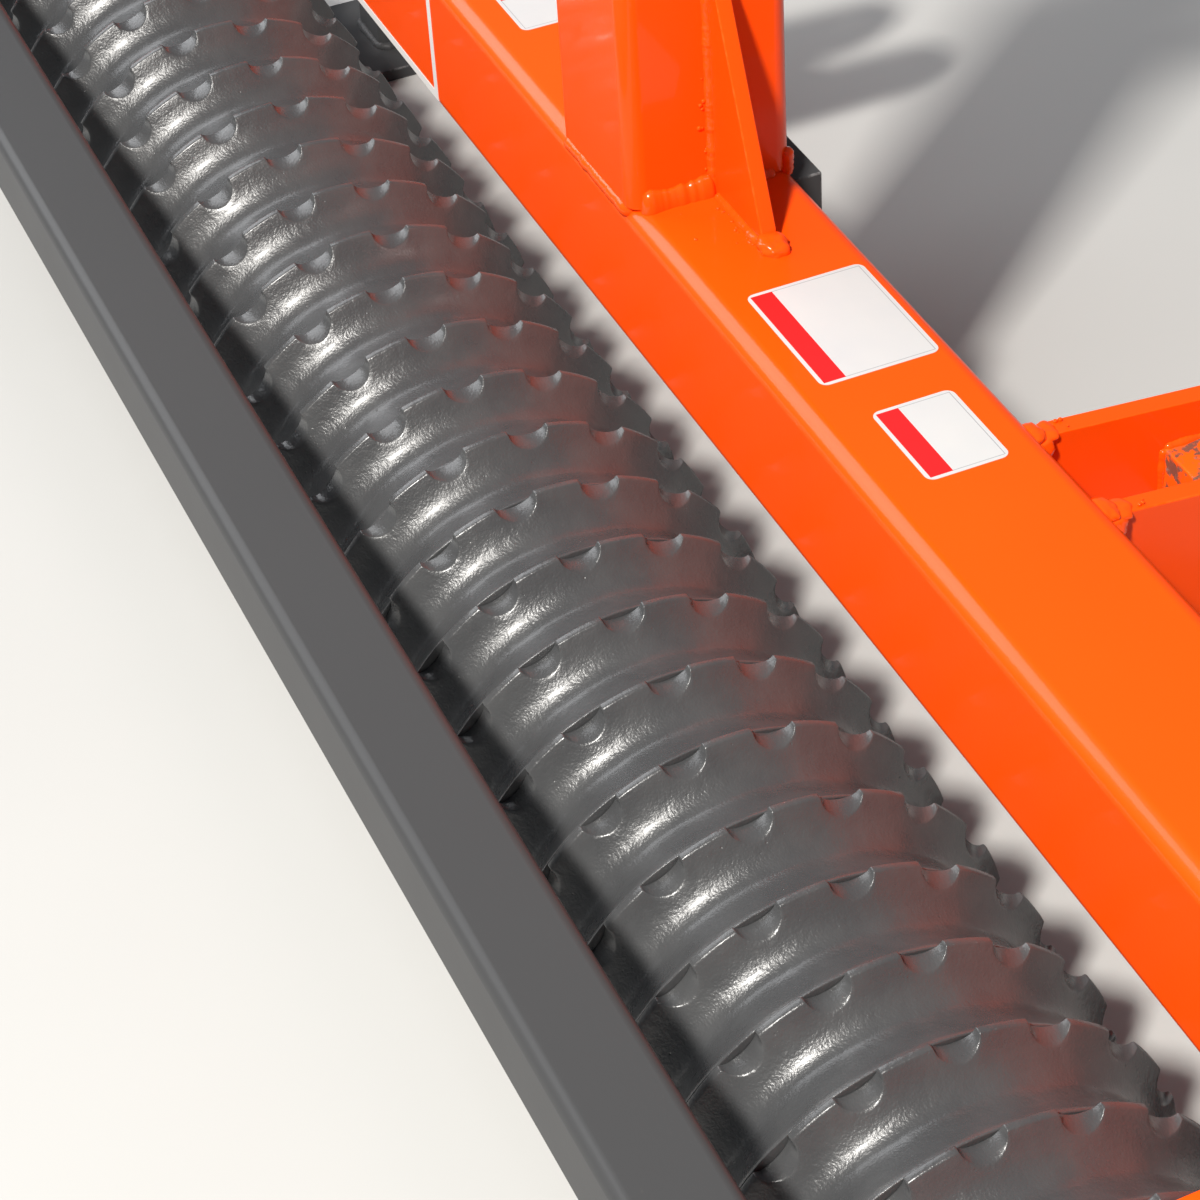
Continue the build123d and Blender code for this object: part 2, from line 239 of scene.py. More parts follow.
@dataclass(frozen=True)
class SprayPaint:
    """Sprayed paint on plate and tube: orange peel, a little dust, thin at the edges."""

    name: str
    colour: Colour
    deep: Colour
    edge: Colour
    roughness: float
    coat: float
    peel: float = 0.035 * MM
    chips: float = 0.0
    dust: Colour = (0.5, 0.42, 0.34, 1.0)
    coat_roughness: float = 0.05
    shine: float = 0.12

    def build(self) -> bpy.types.Material:
        """Make the material."""
        shader = Shader(self.name)
        broad = shader.noise(120 * MM, 2.0).ramp(0.3, 0.75)
        colour = shader.mixed(broad * 0.25, self.colour, self.deep)
        worn = (shader.wear() * shader.noise(6 * MM, 4.0, 0.65)).ramp(0.46 - self.chips, 0.62)
        colour = shader.mixed(worn * (0.3 + self.chips * 2), colour, self.edge)
        dust = shader.noise(3.2 * MM, 5.0, 0.7).ramp(0.62, 0.8)
        colour = shader.mixed(dust * 0.03, colour, self.dust)
        gloss = self.roughness + dust * 0.08 + shader.noise(60 * MM, 3.0) * 0.05 + worn * 0.1
        relief = shader.bump(shader.noise(2.6 * MM, 2.0, 0.45), self.peel)
        relief = shader.bump(shader.noise(30 * MM, 2.0), self.peel * 2.0, relief)
        return shader.finish(Base_Color=colour, Roughness=gloss, Normal=relief, Coat_Weight=self.coat,
                             Coat_Roughness=self.coat_roughness, Specular_IOR_Level=self.shine)


@dataclass(frozen=True)
class CastPaint:
    """Thick paint over a sand casting: pebbled skin, small pits and bare high edges."""

    name: str
    colour: Colour
    pale: Colour
    bare: Colour
    pebble: float
    roughness: float
    coat: float = 0.1
    coat_roughness: float = 0.12
    shine: float = 0.36

    def build(self) -> bpy.types.Material:
        """Make the material."""
        shader = Shader(self.name)
        broad = shader.noise(28 * MM, 3.0, 0.55)
        colour = shader.mixed(broad.ramp(0.35, 0.7) * 0.4, self.colour, self.pale)
        dust = shader.noise(5 * MM, 5.0, 0.72).ramp(0.55, 0.78)
        colour = shader.mixed(dust * 0.25, colour, self.pale)
        worn = (shader.wear() * shader.noise(3.5 * MM, 4.0, 0.7)).ramp(0.42, 0.6)
        colour = shader.mixed(worn * 0.5, colour, self.bare)
        gloss = self.roughness + broad * 0.12 + dust * 0.1 - worn * 0.06
        pits = shader.cells(4.6 * MM).ramp(0.0, 0.2)
        rare = shader.noise(13 * MM, 2.0).ramp(0.56, 0.68)
        skin = shader.noise(1.4 * MM, 3.0, 0.55)
        relief = shader.bump(skin, self.pebble)
        relief = shader.bump(1 - (1 - pits) * rare, self.pebble * 1.1, relief)
        relief = shader.bump(shader.noise(7 * MM, 2.0), self.pebble * 1.5, relief)
        return shader.finish(Base_Color=colour, Roughness=gloss, Normal=relief, Coat_Weight=self.coat,
                             Coat_Roughness=self.coat_roughness, Specular_IOR_Level=self.shine)


@dataclass(frozen=True)
class BareMetal:
    """Turned or plated steel with fine marks and thin stains."""

    name: str
    colour: Colour
    stain: Colour
    roughness: float
    metal: float = 1.0
    stains: float = 0.3

    def build(self) -> bpy.types.Material:
        """Make the material."""
        shader = Shader(self.name)
        lines = shader.noise(0.5 * MM, 2.0, 0.5, shader.stretched(1.0, 0.08, 0.08))
        spots = shader.noise(11 * MM, 5.0, 0.7).ramp(0.5, 0.72)
        colour = shader.mixed(spots * self.stains, self.colour, self.stain)
        gloss = self.roughness + lines * 0.12 + spots * 0.22
        metal = self.metal - spots * self.stains * 0.8
        relief = shader.bump(lines, 0.01 * MM)
        return shader.finish(Base_Color=colour, Metallic=metal, Roughness=gloss, Normal=relief)


@dataclass(frozen=True)
class ScrapedPaint:
    """Paint scraped down to brown primer and steel where a ball joint rubs."""

    name: str
    colour: Colour
    brown: Colour
    steel: Colour

    def build(self) -> bpy.types.Material:
        """Make the material."""
        shader = Shader(self.name)
        patch = shader.noise(17 * MM, 4.0, 0.65)
        brown = patch.ramp(0.5, 0.58)
        bright = shader.noise(4 * MM, 5.0, 0.7).ramp(0.56, 0.66) * brown
        colour = shader.mixed(brown, self.colour, self.brown)
        colour = shader.mixed(bright * 0.6, colour, self.steel)
        gloss = 0.3 + brown * 0.35
        relief = shader.bump(1 - brown, 0.12 * MM)
        return shader.finish(Base_Color=colour, Roughness=gloss, Normal=relief)


@dataclass(frozen=True)
class BlankLabel:
    """A white film label with a coloured band along one edge and a thin line inside its border."""

    name: str
    centre: Point
    half: tuple[float, float]
    band_axis: str
    band_side: int
    band_width: float
    margin: float = 2.2 * MM
    line: float = 0.4 * MM
    soft: float = 0.1 * MM
    film: tuple[Colour, Colour] = ((0.5, 0.51, 0.52, 1.0), (0.55, 0.55, 0.54, 1.0))
    ink: Colour = (0.2, 0.2, 0.21, 1.0)
    red: Colour = (0.62, 0.012, 0.014, 1.0)

    def build(self) -> bpy.types.Material:
        """Make the material."""
        shader = Shader(self.name)
        along = shader.part("X", self.centre)
        across = shader.part("Y", self.centre)
        inset = (abs(along) - self.half[0]).most(abs(across) - self.half[1])
        inside = (inset * -1).ramp(self.margin, self.margin + self.soft)
        deeper = (inset * -1).ramp(self.margin + self.line, self.margin + self.line + self.soft)
        reach = (along if self.band_axis == "X" else across) * self.band_side
        edge = self.half[0] if self.band_axis == "X" else self.half[1]
        band = reach.ramp(edge - self.band_width - self.soft, edge - self.band_width)
        film = shader.mixed(shader.noise(30 * MM, 3.0), *self.film)
        colour = shader.mixed((inside - deeper) * 0.8, film, self.ink)
        colour = shader.mixed(band * inside, colour, self.red)
        relief = shader.bump(shader.noise(12 * MM, 2.0), 0.12 * MM)
        return shader.finish(Base_Color=colour, Roughness=0.32 + shader.noise(8 * MM) * 0.08, Normal=relief)


@dataclass(frozen=True)
class PaleFloor:
    """A plain pale studio floor."""

    name: str = "pale_floor"
    tones: tuple[Colour, Colour] = ((0.46, 0.455, 0.44, 1.0), (0.49, 0.485, 0.47, 1.0))
    roughness: float = 0.75

    def build(self) -> bpy.types.Material:
        """Make the material."""
        shader = Shader(self.name)
        colour = shader.mixed(shader.noise(400 * MM, 3.0), *self.tones)
        return shader.finish(Base_Color=colour, Roughness=self.roughness)


ORANGE = SprayPaint("orange_gloss", colour=rgb(1.0, 0.08, 0.002), deep=rgb(0.98, 0.067, 0.001),
                    edge=rgb(1.0, 0.14, 0.015), roughness=0.28, coat=0.25)
WELD_ORANGE = SprayPaint("orange_weld", colour=rgb(0.99, 0.08, 0.003), deep=rgb(0.92, 0.062, 0.002),
                         edge=rgb(1.0, 0.14, 0.015), roughness=0.17, coat=0.4, peel=0.05 * MM)
GREY = SprayPaint("grey_satin", colour=rgb(0.05, 0.0505, 0.052), deep=rgb(0.046, 0.0465, 0.048),
                  edge=rgb(0.3, 0.3, 0.3), roughness=0.42, coat=0.06, peel=0.02 * MM, chips=0.04)
RING = CastPaint("ring_charcoal", colour=rgb(0.052, 0.053, 0.055), pale=rgb(0.075, 0.076, 0.077),
                 bare=rgb(0.22, 0.22, 0.22), pebble=0.22 * MM, roughness=0.22)
HOUSING = CastPaint("bearing_grey", colour=rgb(0.07, 0.071, 0.074), pale=rgb(0.11, 0.11, 0.11),
                    bare=rgb(0.3, 0.3, 0.3), pebble=0.1 * MM, roughness=0.28)
WHITE_FILM = SprayPaint("white_film", colour=rgb(0.72, 0.69, 0.66), deep=rgb(0.68, 0.65, 0.62),
                        edge=rgb(0.6, 0.6, 0.6), roughness=0.35, coat=0.0)
STEEL = BareMetal("turned_steel", colour=rgb(0.56, 0.55, 0.53), stain=rgb(0.2, 0.12, 0.07), roughness=0.24)
ZINC = BareMetal("zinc_plating", colour=rgb(0.66, 0.65, 0.6), stain=rgb(0.5, 0.46, 0.36), roughness=0.3,
                 stains=0.2)
SCRAPED = ScrapedPaint("scraped_orange", colour=rgb(0.9, 0.12, 0.006), brown=rgb(0.16, 0.07, 0.045),
                       steel=rgb(0.3, 0.27, 0.25))
Finish = Union[SprayPaint, CastPaint, BareMetal, ScrapedPaint, BlankLabel, PaleFloor]


class Palette:
    """Makes each finish once."""

    def __init__(self) -> None:
        """Start with nothing made."""
        self.made: dict[str, bpy.types.Material] = {}

    def of(self, finish: Finish) -> bpy.types.Material:
        """The material of a finish."""
        if finish.name not in self.made:
            self.made[finish.name] = finish.build()
        return self.made[finish.name]


PALETTE = Palette()


# Meshes

@dataclass(frozen=True)
class Extent:
    """The box of a CAD node at rest."""

    low: Vector
    high: Vector

    @classmethod
    def of(cls, node: str) -> "Extent":
        """Read a node's box."""
        low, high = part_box(node)
        return cls(Vector(low), Vector(high))

    @property
    def centre(self) -> Vector:
        """The middle of the box."""
        return (self.low + self.high) / 2

    @property
    def size(self) -> Vector:
        """The box's length along each axis."""
        return self.high - self.low


def settle(name: str, mesh: bmesh.types.BMesh, finish: Finish, body: Body,
           stands_for: Sequence[str] = (), crease: float = 40.0, weighted: bool = False) -> bpy.types.Object:
    """Turn a bmesh into a finished piece.

    Args:
        name: The piece's name.
        mesh: Its shape, in place.
        finish: The finish that it gets.
        body: The body that it rides on.
        stands_for: The CAD nodes that it replaces.
        crease: Edges that turn more than this many degrees stay sharp.
        weighted: Whether large flat faces lead the shading of rounded edges.

    Returns:
        The new object.
    """
    bmesh.ops.recalc_face_normals(mesh, faces=mesh.faces)
    data = bpy.data.meshes.new(name)
    mesh.to_mesh(data)
    mesh.free()
    data.shade_smooth()
    data.set_sharp_from_angle(angle=math.radians(crease))
    piece = bpy.data.objects.new(name, data)
    bpy.context.scene.collection.objects.link(piece)
    data.materials.append(PALETTE.of(finish))
    if weighted:
        modifier = piece.modifiers.new("even_shading", "WEIGHTED_NORMAL")
        modifier.keep_sharp = True
    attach(piece, body.value)
    if stands_for:
        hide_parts(*stands_for)
    log.info("%s: %d faces, on %s", name, len(data.polygons), body.value)
    return piece


def rounded(mesh: bmesh.types.BMesh, edge: float, turn: float = 30.0, segments: int = 2) -> None:
    """Round the sharp edges of a mesh and mark them as the places that wear.

    Args:
        mesh: The mesh.
        edge: How far the rounding reaches from each edge.
        turn: Edges that turn more than this many degrees are rounded.
        segments: Steps across the rounding.
    """
    sharp = [item for item in mesh.edges if item.is_manifold and item.calc_face_angle(0) > math.radians(turn)]
    made = bmesh.ops.bevel(mesh, geom=sharp, offset=edge, offset_type="OFFSET", affect="EDGES",
                           segments=segments, profile=0.5, material=-1, clamp_overlap=True)
    layer = mesh.loops.layers.float.new("edge")
    for face in made["faces"]:
        for corner in face.loops:
            corner[layer] = 1.0


def merged_copy(node: str) -> bmesh.types.BMesh:
    """A copy of a node's shape.

    Args:
        node: The node's name.

    Returns:
        The shape with its seams merged and its flat faces whole.
    """
    mesh = bmesh.new()
    mesh.from_mesh(frame["nodes"][node].data)
    bmesh.ops.remove_doubles(mesh, verts=mesh.verts, dist=0.005 * MM)
    bmesh.ops.dissolve_limit(mesh, angle_limit=math.radians(1.0), verts=mesh.verts, edges=mesh.edges)
    return mesh


def turned(mesh: bmesh.types.BMesh, place: Matrix, profile: Sequence[tuple[float, float]],
           steps: int = 32) -> None:
    """Add a turned piece to a mesh.

    Args:
        mesh: The mesh that it joins.
        place: Takes +Z to the way that the piece's axis points.
        profile: Radius and height of each step of its outline, in order. An outline that starts and ends
            off the axis is closed.
        steps: Steps round it.
    """
    known = set(mesh.verts)
    made = [mesh.verts.new((radius, 0.0, height)) for radius, height in profile]
    edges = [mesh.edges.new(pair) for pair in zip(made, made[1:])]
    if profile[0][0] > 0 and profile[-1][0] > 0:
        edges.append(mesh.edges.new((made[-1], made[0])))
    bmesh.ops.spin(mesh, geom=made + edges, cent=(0, 0, 0), axis=(0, 0, 1), angle=math.tau, steps=steps,
                   use_merge=True)
    grown = [vert for vert in mesh.verts if vert not in known]
    bmesh.ops.transform(mesh, matrix=place, verts=grown)
    bmesh.ops.remove_doubles(mesh, verts=grown, dist=0.002 * MM)


def round_bar(radius: float, low: float, high: float, edge: float) -> list[tuple[float, float]]:
    """The outline of a short round bar with eased ends.

    Args:
        radius: The bar's radius.
        low: The height of its lower end.
        high: The height of its upper end.
        edge: How much its ends are eased.

    Returns:
        Radius and height of each step.
    """
    lower = [(0, low), (radius - edge, low), (radius, low + edge)]
    return lower + [(radius, high - edge), (radius - edge, high), (0, high)]


@dataclass(frozen=True)
class Hexagon:
    """A hexagon bolt head or nut with its corners turned off, on a round washer."""

    across: float
    height: float
    washer: float
    shank: float = 0.0
    shank_radius: float = 0.0
    disc: float = 1.6 * MM
    bevel: float = 0.7 * MM

    def add(self, mesh: bmesh.types.BMesh, place: Matrix) -> None:
        """Add one.

        Args:
            mesh: The mesh that it joins.
            place: Takes +Z to the way that the bolt points, with the seat at its origin.
        """
        turned(mesh, place, round_bar(self.washer, 0.0, self.disc, 0.3 * MM), 32)
        corner = self.across / math.sqrt(3)
        middle = place @ Matrix.Translation((0, 0, self.disc + self.height / 2))
        made = bmesh.ops.create_cone(mesh, cap_ends=True, segments=6, radius1=corner, radius2=corner,
                                     depth=self.height, matrix=middle)
        edges = dict.fromkeys(edge for vert in made["verts"] for edge in vert.link_edges)
        bmesh.ops.bevel(mesh, geom=list(edges), offset=self.bevel, offset_type="OFFSET", affect="EDGES",
                        segments=2, profile=0.5, material=-1)
        if self.shank > 0:
            top = self.disc + self.height
            turned(mesh, place, round_bar(self.shank_radius, top, top + self.shank, 0.6 * MM), 20)


def facing(direction: Sequence[float], place: Sequence[float]) -> Matrix:
    """The matrix that takes +Z to a direction and the origin to a place."""
    turn = Vector(direction).to_track_quat("Z", "Y").to_matrix().to_4x4()
    return Matrix.Translation(Vector(place)) @ turn


@dataclass(frozen=True)
class Bead:
    """One run of weld along the corner between two plates, laid in ripples."""

    points: tuple[Vector, ...]
    size: float
    # The way out of the corner, where it is the same all along
    away: Point | None = None
    pitch: float = 3.2 * MM
    ripple: float = 0.1
    lumps: float = 0.3
    sunk: float = 0.3
    # Its reach out of the corner as a share of its reach to the sides
    tall: float = 1.0
    around: int = 12

    def lay(self, mesh: bmesh.types.BMesh) -> None:
        """Add the bead to a mesh.

        Args:
            mesh: The mesh that it joins.
        """
        lengths = [(b - a).length for a, b in zip(self.points, self.points[1:])]
        whole = sum(lengths)
        steps = max(8, int(whole / (self.pitch / 3)))
        made = bmesh.ops.create_grid(mesh, x_segments=steps, y_segments=self.around, size=0.5)
        for vert in made["verts"]:
            along = (vert.co.x + 0.5) * whole
            turn = (vert.co.y + 0.5) * math.tau
            vert.co = self._skin(along, turn, whole, lengths)
        bmesh.ops.remove_doubles(mesh, verts=made["verts"], dist=0.002 * MM)

    def _skin(self, along: float, turn: float, whole: float, lengths: list[float]) -> Vector:
        """One point of the bead's skin.

        Args:
            along: The length along the bead.
            turn: The turn about it.
            whole: The bead's whole length.
            lengths: The length of each of its stretches.

        Returns:
            The point.
        """
        start = 0.0
        index = 0
        while index < len(lengths) - 1 and along > start + lengths[index]:
            start += lengths[index]
            index += 1
        first, second = self.points[index], self.points[index + 1]
        line = (second - first).normalized()
        centre = first + line * (along - start)
        up = Vector(self.away or (0.31, 0.48, 0.82))
        up = (up - line * up.dot(line)).normalized()
        side = line.cross(up)
        if self.away:
            centre -= up * self.size * self.sunk
        curl = along + 0.4 * self.size * math.sin(turn)
        wave = abs(math.sin(math.pi * curl / self.pitch))
        lump = noise.noise(centre * 110) + 0.4 * noise.noise(centre * 380)
        rest = min(along, whole - along) / self.size
        end = math.sqrt(max(0.0, 1 - (1 - min(rest, 1.0)) ** 2))
        radius = self.size * (1 - self.ripple + self.ripple * wave + lump * self.lumps) * end
        return centre + (side * math.cos(turn) + up * math.sin(turn) * self.tall) * radius


@dataclass(frozen=True)
class Pad:
    """A lump of weld metal that stops a run, uneven and flatter than a ball."""

    centre: Vector
    half: Point
    lumps: float = 0.28

    def lay(self, mesh: bmesh.types.BMesh) -> None:
        """Add the lump to a mesh.

        Args:
            mesh: The mesh that it joins.
        """
        made = bmesh.ops.create_icosphere(mesh, subdivisions=4, radius=1.0)
        for vert in made["verts"]:
            way = [math.copysign(abs(part) ** 0.8, part) for part in vert.co]
            reach = Vector([size * part for size, part in zip(self.half, way)])
            point = self.centre + reach
            swell = 1 + self.lumps * (noise.noise(point * 90) + 0.4 * noise.noise(point * 330))
            vert.co = self.centre + reach * swell


def welds(name: str, beads: Iterable[Bead | Pad], body: Body = Body.FRAME,
          finish: Finish = WELD_ORANGE) -> bpy.types.Object:
    """Several beads as one piece.

    Args:
        name: The piece's name.
        beads: The runs and lumps of weld.
        body: The body that they ride on.
        finish: Their finish.

    Returns:
        The new object.
    """
    mesh = bmesh.new()
    for bead in beads:
        bead.lay(mesh)
    return settle(name, mesh, finish, body, crease=70)


# The roller

@dataclass
class Roller:
    """The row of toothed cast rings and its end washers."""

    count: int = 28
    teeth: int = 16
    radius: float = 127.0 * MM
    gap: float = 0.4 * MM
    # A tooth's width across the ring, and its length round the ring as a share of half the teeth's pitch
    land: float = 4.2 * MM
    tooth_share: float = 1.06
    corner: float = 0.8 * MM
    notch_depth: float = 8.8 * MM
    # Share of a notch's depth by which its floor is higher at the left face
    notch_slope: float = 0.35
    valley_radius: float = 109.0 * MM
    valley_place: float = 27.0 * MM
    rim_radius: float = 121.2 * MM
    # How far the rims' circles lie off the teeth's along Y and Z, in the rings left of one place in the row
    # and in those right of it, and the number of rings over which the one goes over into the other
    shift_left: tuple[float, float] = (0.0, -3.6 * MM)
    shift_right: tuple[float, float] = (-4.6 * MM, 2.9 * MM)
    shift_place: int = 14
    shift_rings: int = 3
    bore: float = 25.7 * MM
    # Powers of the hollow's curve from the teeth down and up to the rim
    fall: float = 2.0
    rise: float = 1.35
    notch_steps: int = 6
    fall_steps: int = 8
    rise_steps: int = 5
    uneven: float = 0.35 * MM
    # Degrees from +Z towards +Y at which a tooth of each ring stands, from the left end to the right end
    turns: tuple[float, ...] = (-2.0, 4.0, -7.0, 9.0, 0.0, -5.0, -8.0, 0.2, -3.9, -5.1, 6.1, 0.7, -3.6, 7.9,
                                9.5, 9.7, -5.7, 2.8, 8.8, 8.8, 8.9, 0.6, 4.7, -6.1, -2.4, -8.6, 5.9, 3.0)

    def __post_init__(self) -> None:
        """Take the pack's place from its node."""
        pack = Extent.of("packer_rings")
        self.axis = Extent.of("roller_shaft").centre
        self.left = pack.low.x
        self.pitch = (pack.size.x + self.gap) / self.count
        self.width = self.pitch - self.gap

    def outline(self) -> list[tuple[float, float]]:
        """One tooth and one notch of the flange's edge.

        Returns:
            The angle from the tooth's middle and the radius at each step, from notch to notch.
        """
        quarter = math.tau * self.radius / self.teeth / 4
        half_land = quarter * self.tooth_share
        half_notch = 2 * quarter - half_land
        flat = half_land - self.corner
        points = [(0.0, 0.0), (half_land * 0.5, 0.0), (flat, 0.0)]
        for angle in (math.radians(35), math.radians(65)):
            points.append((flat + self.corner * math.sin(angle), self.corner * (1 - math.cos(angle))))
        start = math.asin(self.corner / self.notch_depth)
        for i in range(self.notch_steps + 1):
            angle = start + (math.pi / 2 - start) * i / self.notch_steps
            arc = half_land + half_notch * (1 - math.cos(angle))
            points.append((arc, self.notch_depth * math.sin(angle)))
        right = [(arc / self.radius, self.radius - depth) for arc, depth in points]
        left = [(-angle, radius) for angle, radius in reversed(right[1:-1])]
        return left + right

    def flank(self, x: float) -> float:
        """The radius of the hollow between two rows of teeth, at a distance from the ring's left face."""
        if x < self.valley_place:
            share = (self.valley_place - x) / (self.valley_place - self.land)
            return self.valley_radius + (self.radius - self.valley_radius) * share ** self.fall
        share = (x - self.valley_place) / (self.width - self.valley_place)
        return self.valley_radius + (self.rim_radius - self.valley_radius) * share ** self.rise

    def rim_lift(self, index: int, x: float, angle: float) -> float:
        """How far the hollow lies higher where the rim is off centre.

        Args:
            index: The ring's place from the left end.
            x: The distance from its left face.
            angle: The angle from +Z towards +Y.

        Returns:
            The lift, less than nothing where the hollow is lower.
        """
        share = (x - self.valley_place) / (self.width - self.valley_place)
        blend = min(1.0, max(0.0, (index - self.shift_place) / self.shift_rings))
        y, z = (a + (b - a) * blend for a, b in zip(self.shift_left, self.shift_right))
        return (y * math.sin(angle) + z * math.cos(angle)) * share ** self.rise

    def crest(self, top: float) -> float:
        """The distance from the left face at which the hollow reaches a radius."""
        share = (top - self.valley_radius) / (self.radius - self.valley_radius)
        return self.valley_place - (self.valley_place - self.land) * share ** (1 / self.fall)

    def section(self, top: float) -> list[tuple[float, float]]:
        """The ring's section where the flange stands at a radius.

        Args:
            top: The flange's radius there.

        Returns:
            Distance from the left face and radius, round the section.
        """
        corner = self.corner
        low = self.radius - self.notch_depth - 3 * MM
        points = [(0.0, radius) for radius in (self.bore, low * 0.6, low * 0.9, low)]
        high = top + self.notch_slope * (self.radius - top)
        points += [(0.0, high - corner), (corner * 0.3, high - corner * 0.3), (corner, high)]
        right = self.crest(top)
        points.append((max(right - corner * 0.9, corner * 1.1), top))
        points.append((right - corner * 0.1, top - corner * 0.25))
        start = self.crest(top - corner)
        for i in range(self.fall_steps + 1):
            x = start + (self.valley_place - start) * i / self.fall_steps
            points.append((x, self.flank(x)))
        for i in range(1, self.rise_steps + 1):
            x = self.valley_place + (self.width - corner - self.valley_place) * i / self.rise_steps
            points.append((x, self.flank(x)))
        rim = self.flank(self.width - corner)
        points += [(self.width - corner * 0.25, rim - corner * 0.15), (self.width, rim - corner)]
        points += [(self.width, radius) for radius in (low * 0.9, low * 0.6, self.bore)]
        return points

    def ring(self, index: int) -> bmesh.types.BMesh:
        """One ring, spun as a plain band and then drawn to its teeth and hollow.

        Args:
            index: Its place from the left end.

        Returns:
            Its mesh, in place.
        """
        period = self.outline()
        steps = self.teeth * len(period)
        rows = len(self.section(self.radius))
        mesh = bmesh.new()
        start = [mesh.verts.new((row * MM, 0.0, 1.0)) for row in range(rows)]
        loop = [mesh.edges.new((a, b)) for a, b in zip(start, start[1:] + start[:1])]
        bmesh.ops.spin(mesh, geom=start + loop, cent=(0, 0, 0), axis=(-1, 0, 0), angle=math.tau, steps=steps,
                       use_merge=True)
        layer = mesh.verts.layers.float.new("edge")
        sections = [self.section(top) for _, top in period]
        # Places in the section of the flange's left corner, its right corner and the rim's corner
        worn = (5, 8, rows - 5)
        left = self.left + index * self.pitch
        for vert in mesh.verts:
            row = round(vert.co.x / MM)
            step = round(math.atan2(vert.co.y, vert.co.z) / math.tau * steps) % steps
            tooth, place = divmod(step, len(period))
            x, radius = sections[place][row]
            angle = tooth * math.tau / self.teeth + period[place][0] + math.radians(self.turns[index])
            if x > self.valley_place and radius > self.valley_radius:
                radius += self.rim_lift(index, x, angle)
            across, up = math.sin(angle), math.cos(angle)
            # Each ring takes its own stretch of the noise
            swell = noise.noise(Vector((index * 7.3 + x * 22, across * 2.4, up * 2.4)))
            radius -= self.uneven * (1 + swell) * min(1.0, radius / self.radius)
            vert.co = (left + x, self.axis.y + radius * across, self.axis.z + radius * up)
            if row in worn:
                vert[layer] = 0.8
        return mesh

    def build(self) -> None:
        """Make the rings and the washers at the ends of their row."""
        for index in range(self.count):
            settle(f"packer_ring_{index + 1:02d}", self.ring(index), RING, Body.ROLLER,
                   ["packer_rings"], crease=75)
        self.washers()

    def washers(self) -> None:
        """Make the round washers that clamp the row of rings."""
        washers = Extent.of("clamp_washers")
        thick = 6 * MM
        edge = 0.8 * MM
        bore = self.bore + edge / 2
        rim = washers.size.z / 2
        profile = ((bore, 0), (rim - edge, 0), (rim, edge),
                   (rim, thick - edge), (rim - edge, thick), (bore, thick))
        mesh = bmesh.new()
        for _, side in SIDES:
            face = (side * washers.high.x, self.axis.y, self.axis.z)
            turned(mesh, facing((-side, 0, 0), face), profile, 72)
        settle("clamp_washers_round", mesh, GREY, Body.ROLLER, ["clamp_washers"])


# The frame's plates and tubes

@dataclass
class Plating:
    """Plates and tubes whose shape the CAD nodes already have, with their edges eased."""

    # node, how far its rounding reaches in millimetres, steps across the rounding, finish
    rows: tuple[tuple[str, float, int, Finish], ...] = (
        ("toolbar", 0.5, 1, ORANGE),
        ("mast_post", 0.8, 2, ORANGE),
        ("mast_cap", 1.2, 2, ORANGE),
        ("mast_gusset_left", 0.9, 2, ORANGE),
        ("mast_gusset_right", 0.9, 2, ORANGE),
        ("top_ear_left", 1.0, 2, ORANGE),
        ("top_ear_right", 1.0, 2, ORANGE),
        ("center_plate", 1.2, 2, GREY),
        ("link_plates_inner", 1.0, 2, ORANGE),
        ("link_plates_outer", 1.0, 2, ORANGE),
        ("link_spacer_left", 1.4, 2, SCRAPED),
        ("link_spacer_right", 1.4, 2, SCRAPED),
        ("side_plates", 0.9, 2, ORANGE),
        ("stand_sleeves", 0.7, 2, ORANGE),
        ("stand_nuts", 0.8, 2, ORANGE),
        ("rear_bar", 0.5, 1, GREY),
        ("bar_flanges", 0.9, 2, GREY),
        ("stand_leg_left", 0.7, 2, GREY),
        ("stand_leg_right", 0.7, 2, GREY),
        ("stand_foot_left", 1.2, 2, GREY),
        ("stand_foot_right", 1.2, 2, GREY),
        ("bearings", 1.6, 3, HOUSING),
        ("roller_shaft", 1.0, 2, STEEL),
    )

    # Share of its radius that the dressed shaft loses, so that its facets turn free in the bearings' bores
    shaft_play: float = 0.012

    def slimmed(self, mesh: bmesh.types.BMesh) -> None:
        """Take a little off the shaft all round.

        Args:
            mesh: The shaft's shape.
        """
        axis = Extent.of("roller_shaft").centre
        thinner = Matrix.Diagonal((1.0, 1 - self.shaft_play, 1 - self.shaft_play, 1.0))
        about = Matrix.Translation(axis) @ thinner @ Matrix.Translation(-axis)
        bmesh.ops.transform(mesh, matrix=about, verts=mesh.verts)

    def build(self) -> None:
        """Make an eased piece for each node."""
        record = frame["record"]
        bodies = {node: body for body, nodes in record["behaviour"]["bodies"].items() for node in nodes}
        for node, reach, segments, finish in self.rows:
            mesh = merged_copy(node)
            rounded(mesh, reach * MM, segments=segments)
            if node == "roller_shaft":
                self.slimmed(mesh)
            settle(f"{node}_eased", mesh, finish, Body(bodies[node]), [node],
                   weighted=True)


